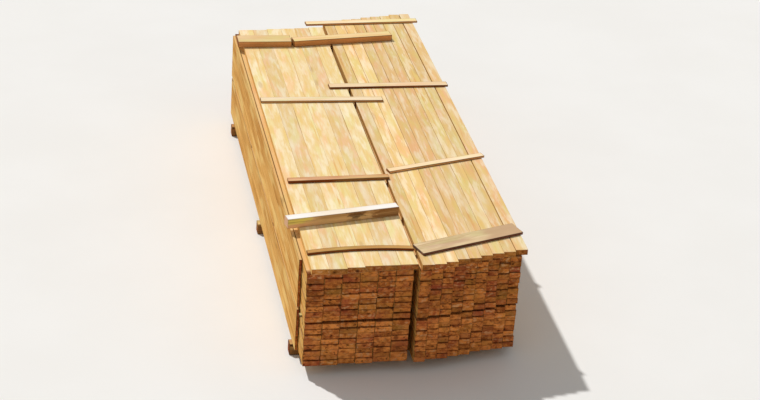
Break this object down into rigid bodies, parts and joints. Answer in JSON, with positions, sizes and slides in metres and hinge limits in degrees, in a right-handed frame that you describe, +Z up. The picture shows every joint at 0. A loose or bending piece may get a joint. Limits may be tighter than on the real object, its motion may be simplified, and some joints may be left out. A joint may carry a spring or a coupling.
{
  "type": "stack of lumber",
  "caption": "Two packs of sawn boards side by side on bearers, with stickers between the layers and loose battens lying across the top.",
  "frame": {"origin": "centre of the middle bearer's underside, on the floor", "axes": "+Y along the boards, away from the near ends; +X across the two packs, to the right seen from the near ends; +Z up"},
  "size_m": [2.0534, 5.624, 1.114],
  "materials": {
    "board_wood": "rough sawn softwood, pale yellow tops and tan sides, orange-brown ends",
    "lath_wood": "rough sawn laths and battens, cream to tan",
    "white_wood": "sun-bleached squared batten, nearly white on top",
    "grey_wood": "weathered grey board",
    "bearer_wood": "rough sawn bearer timber, brown"
  },
  "bodies": {
    "root": {"near_bearer": "bearer_wood", "middle_bearer": "bearer_wood", "far_bearer": "bearer_wood", "left_lower_boards": "board_wood", "left_upper_boards": "board_wood", "left_top_boards": "board_wood", "left_edge_boards": "board_wood", "right_lower_boards": "board_wood", "right_upper_boards": "board_wood", "right_top_boards": "board_wood", "left_sticker_1": "lath_wood", "left_sticker_2": "lath_wood", "left_sticker_3": "lath_wood", "left_sticker_4": "lath_wood", "right_sticker_1": "lath_wood", "right_sticker_2": "lath_wood", "right_sticker_3": "lath_wood", "right_sticker_4": "lath_wood", "near_lath": "lath_wood", "white_batten": "white_wood", "brown_lath": "lath_wood", "left_crossing_lath": "lath_wood", "right_crossing_lath": "lath_wood", "far_batten": "lath_wood", "far_short_batten": "lath_wood", "far_end_lath": "lath_wood", "grey_board": "grey_wood", "right_skew_lath": "lath_wood"}
  },
  "joints": []
}
